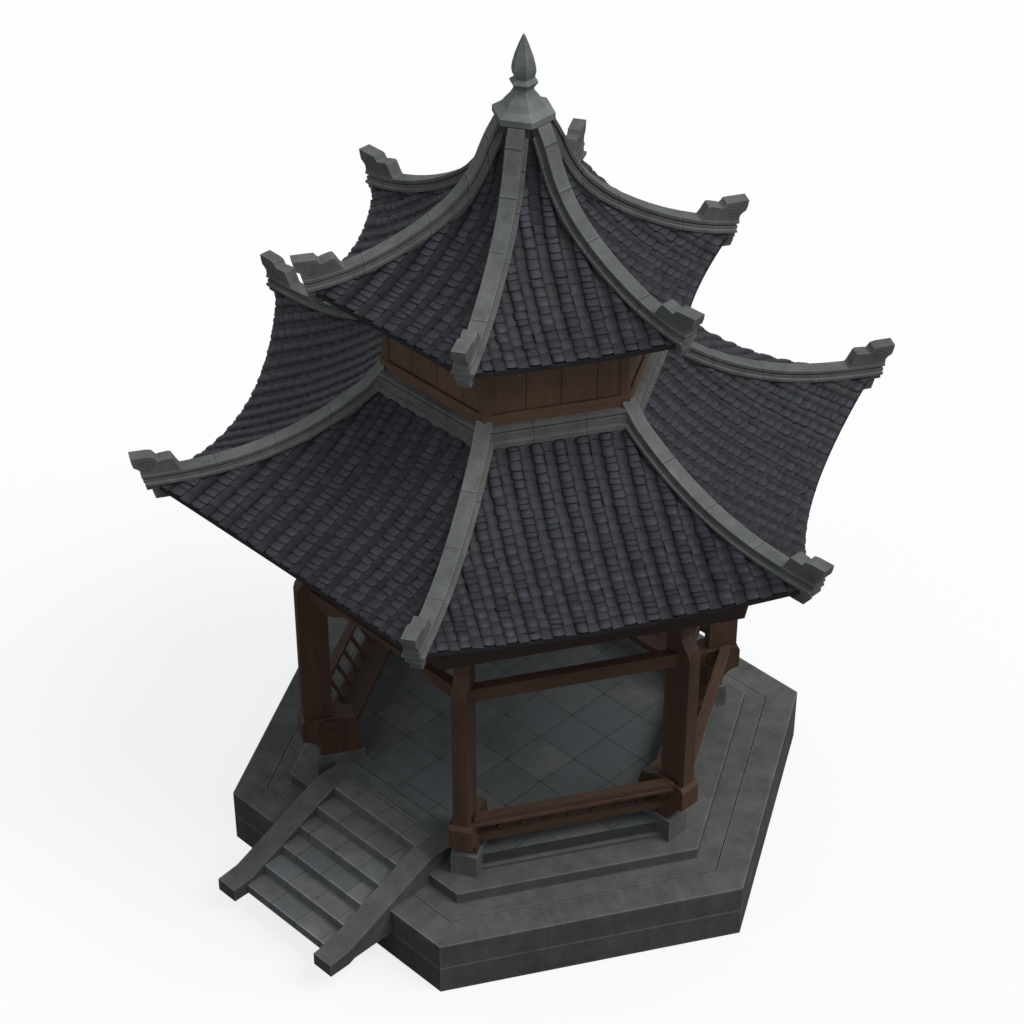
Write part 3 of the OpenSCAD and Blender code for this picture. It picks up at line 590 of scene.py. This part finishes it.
def tileMaterial():
    # cool grey covers with a painted highlight down the middle and near the front, purplish channels, painted
    # shade at every edge and under each tile's lip, a little lichen
    mat, here = newMaterial("roofClay")
    s = tileSettings
    tone, front, side, cover = [here.make("ShaderNodeAttribute", {"attribute_name": name}, out="Fac")
                                for name in ("tone", "front", "side", "cover")]
    soft = here.noise(9.0, 4.0)
    # painted shade in the dark colour along the fronts and the sides of the tiles, and a paler middle as a
    # painted highlight
    lip = 1 - (front + soft * 0.014).step(0.008, 0.036, (1.0, 0.0))
    middle = (1 - side * side).step(0.10, 0.80)
    unshadedShare = middle * (lip * (0.45 + cover * 0.55) + (1 - cover) * 0.55)
    hue = (cover * 0.75 + tone * 0.5 - 0.25 + soft * 0.3).step(0.25, 0.95)
    color = unshadedShare.blend((*s["dark"], 1), hue.blend((*s["warm"], 1), (*s["cool"], 1)))
    shade = (tone * 7.0).math("FRACT").step(0.0, 1.0, (0.84, 1.15))
    shade = shade * here.noise(30.0, 4.0, 0.65).step(0.3, 0.7, (0.86, 1.12))
    # towards the front each tile is painted paler as a highlight, and further back darker as shade under the
    # next tile
    shade = shade * here.noise(2.2, 3.0).step(0.35, 0.65, (0.86, 1.1)) * front.step(0.03, 0.13, (1.2, 0.74))
    spots = here.noise(5.5, 2.0, 0.4).step(0.66, 0.70) * here.noise(48.0, 2.0).step(0.55, 0.66)
    color = spots.blend(color.tint(shade), (*s["lichen"], 1))
    return finishMaterial(mat, here, color, s["rough"], here.noise(40.0, 4.0, 0.6) + soft, s["relief"])


def tileSlopes(roofName, roof, mat):
    rng = np.random.default_rng(roof["seed"])
    half = (roof["rows"] - 1) / 2
    covers = [(i - half) * rowSettings["pitch"] for i in range(roof["rows"])]
    channels = [(i - half - 0.5) * rowSettings["pitch"] for i in range(roof["rows"] + 1)]
    for k in range(6):
        p1, f1, tone1, front1, side1 = layRows(rng, roof, coverShape, covers)
        p2, f2, tone2, front2, side2 = layRows(rng, roof, channelShape, channels)
        faces = f1 + [[v + len(p1) for v in face] for face in f2]
        # the channels get painted shade a little less far in from their sides
        values = {"tone": np.concatenate([tone1, tone2]), "front": np.concatenate([front1, front2]),
                  "side": np.concatenate([side1, side2 * 0.9]),
                  "cover": np.concatenate([np.ones(len(p1)), np.zeros(len(p2))])}
        addPiece(roofName + "Tiles" + str(k + 1), turned(np.concatenate([p1, p2]), k), faces, mat,
                 [roofName + "_slopes"], values, 48)


def barFaces(stations, sides):
    # a closed bar: rings of points in order, with a face at each end
    ring = np.arange(sides)
    ends = [ring[::-1].tolist(), (ring + (stations - 1) * sides).tolist()]
    return ringFaces(stations, sides).tolist() + ends


deckSettings = dict(shadedTimberSettings, edge=0.004, stations=13, gap=0.0012, thick=0.0165)
eaveSettings = dict(tone=(0.014, 0.013, 0.015), dark=(0.008, 0.0075, 0.009), rough=0.7, relief=0.003,
                    stations=33, past=0.02, out=(-0.07, 0.006, 0.012, 0.006, -0.07),
                    up=(-0.036, -0.036, -0.070, -0.100, -0.092))


def eaveMaterial():
    mat, here = newMaterial("eaveSlate")
    s = eaveSettings
    color = here.noise(6.0, 4.0).step(0.3, 0.7).blend((*s["dark"], 1), (*s["tone"], 1))
    return finishMaterial(mat, here, color, s["rough"], here.noise(30.0, 4.0), s["relief"])


def deckSlopes(roofName, roof, mat):
    # boards under the tiles that follow the slope
    s = deckSettings
    u = np.linspace(-1, 1, s["stations"])[:, None]
    corners = np.array([[0, 0, -s["thick"], -s["thick"]]]) - roof["deck"]
    faces, points = [], []
    for k in range(6):
        for i in range(roof["boards"]):
            low, high = i / roof["boards"] + s["gap"], (i + 1) / roof["boards"] - s["gap"]
            t = np.array([[low, high, high, low]]) + 0 * u
            p = raisedPoint(roof, u * rowHalf(roof, t), t, corners + 0 * t)
            first = len(points) * 4 * s["stations"]
            points.append(turned(p.reshape(-1, 3), k))
            faces += [[v + first for v in face] for face in barFaces(s["stations"], 4)]
    addPiece(roofName + "Deck", np.concatenate(points), faces, mat, [roofName + "_slopes"])


def eaveBands(roofName, roof, mat):
    # the dark band that closes each eave
    s = eaveSettings
    sides = len(s["out"])
    x = np.linspace(-1, 1, s["stations"])[:, None] * (rowHalf(roof, 1.0) + s["past"])
    p = slopePoint(roof, x + np.zeros((1, sides)), np.ones((s["stations"], sides)))
    p[..., 1] -= np.array(s["out"])
    p[..., 2] += np.array(s["up"])
    faces, points = [], []
    for k in range(6):
        first = k * sides * s["stations"]
        points.append(turned(p.reshape(-1, 3), k))
        faces += [[v + first for v in face] for face in barFaces(s["stations"], sides)]
    addPiece(roofName + "Eaves", np.concatenate(points), faces, mat, [roofName + "_slopes"], None, 40)


clay = tileMaterial()
slate = eaveMaterial()
boards = timberMaterial("deckTimber", deckSettings, "side")
for roofName, roof in roofs.items():
    tileSlopes(roofName, roof, clay)
    deckSlopes(roofName, roof, boards)
    eaveBands(roofName, roof, slate)
print("roofs done")

stageSettings = dict(floorSize=60.0, floorColor=(0.8, 0.8, 0.8), bounce=0.09, glow=0.8,
                     skyColor=(0.85, 0.88, 0.92), skyLight=0.68, keyPower=2.2, keyAngle=35, keyTilt=(35, 20))


def makeFloor():
    # pale for the camera, dark for the light that it throws back
    s = stageSettings
    half = s["floorSize"] / 2
    mesh = bpy.data.meshes.new("floor")
    mesh.from_pydata([(-half, -half, 0), (half, -half, 0), (half, half, 0), (-half, half, 0)], [],
                     [(0, 1, 2, 3)])
    floor = bpy.data.objects.new("floor", mesh)
    bpy.context.scene.collection.objects.link(floor)
    mat, here = newMaterial("paleFloor")
    seen = here.make("ShaderNodeLightPath", out="Is Camera Ray")
    color = seen.blend((*[s["bounce"]] * 3, 1), (*s["floorColor"], 1))
    plain = here.make("ShaderNodeBsdfDiffuse", inputs={"Color": color})
    glow = here.make("ShaderNodeEmission", inputs={"Color": (1, 1, 1, 1), "Strength": 1.0})
    both = here.make("ShaderNodeMixShader", inputs={0: seen * s["glow"], 1: plain, 2: glow})
    both.make("ShaderNodeOutputMaterial", inputs={"Surface": both})
    mesh.materials.append(mat)


def makeLight():
    # an even sky that is white behind the pavilion, and one soft sun
    s = stageSettings
    world = bpy.data.worlds.new("softLight")
    world.use_nodes = True
    world.node_tree.nodes.clear()
    path = world.node_tree.nodes.new("ShaderNodeLightPath")
    seen = Wire(world.node_tree, path.outputs["Is Camera Ray"])
    color = seen.blend((*s["skyColor"], 1), (1, 1, 1, 1))
    back = seen.make("ShaderNodeBackground",
                     inputs={"Color": color, "Strength": seen * (1 - s["skyLight"]) + s["skyLight"]})
    back.make("ShaderNodeOutputWorld", inputs={"Surface": back})
    bpy.context.scene.world = world
    lamp = bpy.data.lights.new("key", "SUN")
    lamp.energy = s["keyPower"]
    lamp.angle = math.radians(s["keyAngle"])
    key = bpy.data.objects.new("key", lamp)
    key.rotation_euler = (0.0, math.radians(s["keyTilt"][0]), math.radians(s["keyTilt"][1]))
    bpy.context.scene.collection.objects.link(key)


cameraSettings = dict(aim=(0.0, -0.19, 4.83), azimuth=-44.96, elevation=36.68, distance=33.23, lens=91.4,
                      sensor=36.0, farthest=500.0)


def makeCamera():
    s = cameraSettings
    az, el = math.radians(s["azimuth"]), math.radians(s["elevation"])
    away = np.array([math.cos(el) * math.cos(az), math.cos(el) * math.sin(az), math.sin(el)])
    lens = bpy.data.cameras.new("camera")
    lens.lens = s["lens"]
    lens.sensor_width = s["sensor"]
    lens.clip_end = s["farthest"]
    cam = bpy.data.objects.new("camera", lens)
    cam.location = np.array(s["aim"]) + s["distance"] * away
    cam.rotation_euler = (math.pi / 2 - el, 0.0, az + math.pi / 2)
    bpy.context.scene.collection.objects.link(cam)
    bpy.context.scene.camera = cam


makeFloor()
makeLight()
makeCamera()
bpy.context.scene.view_settings.view_transform = "Standard"
print("stage done")
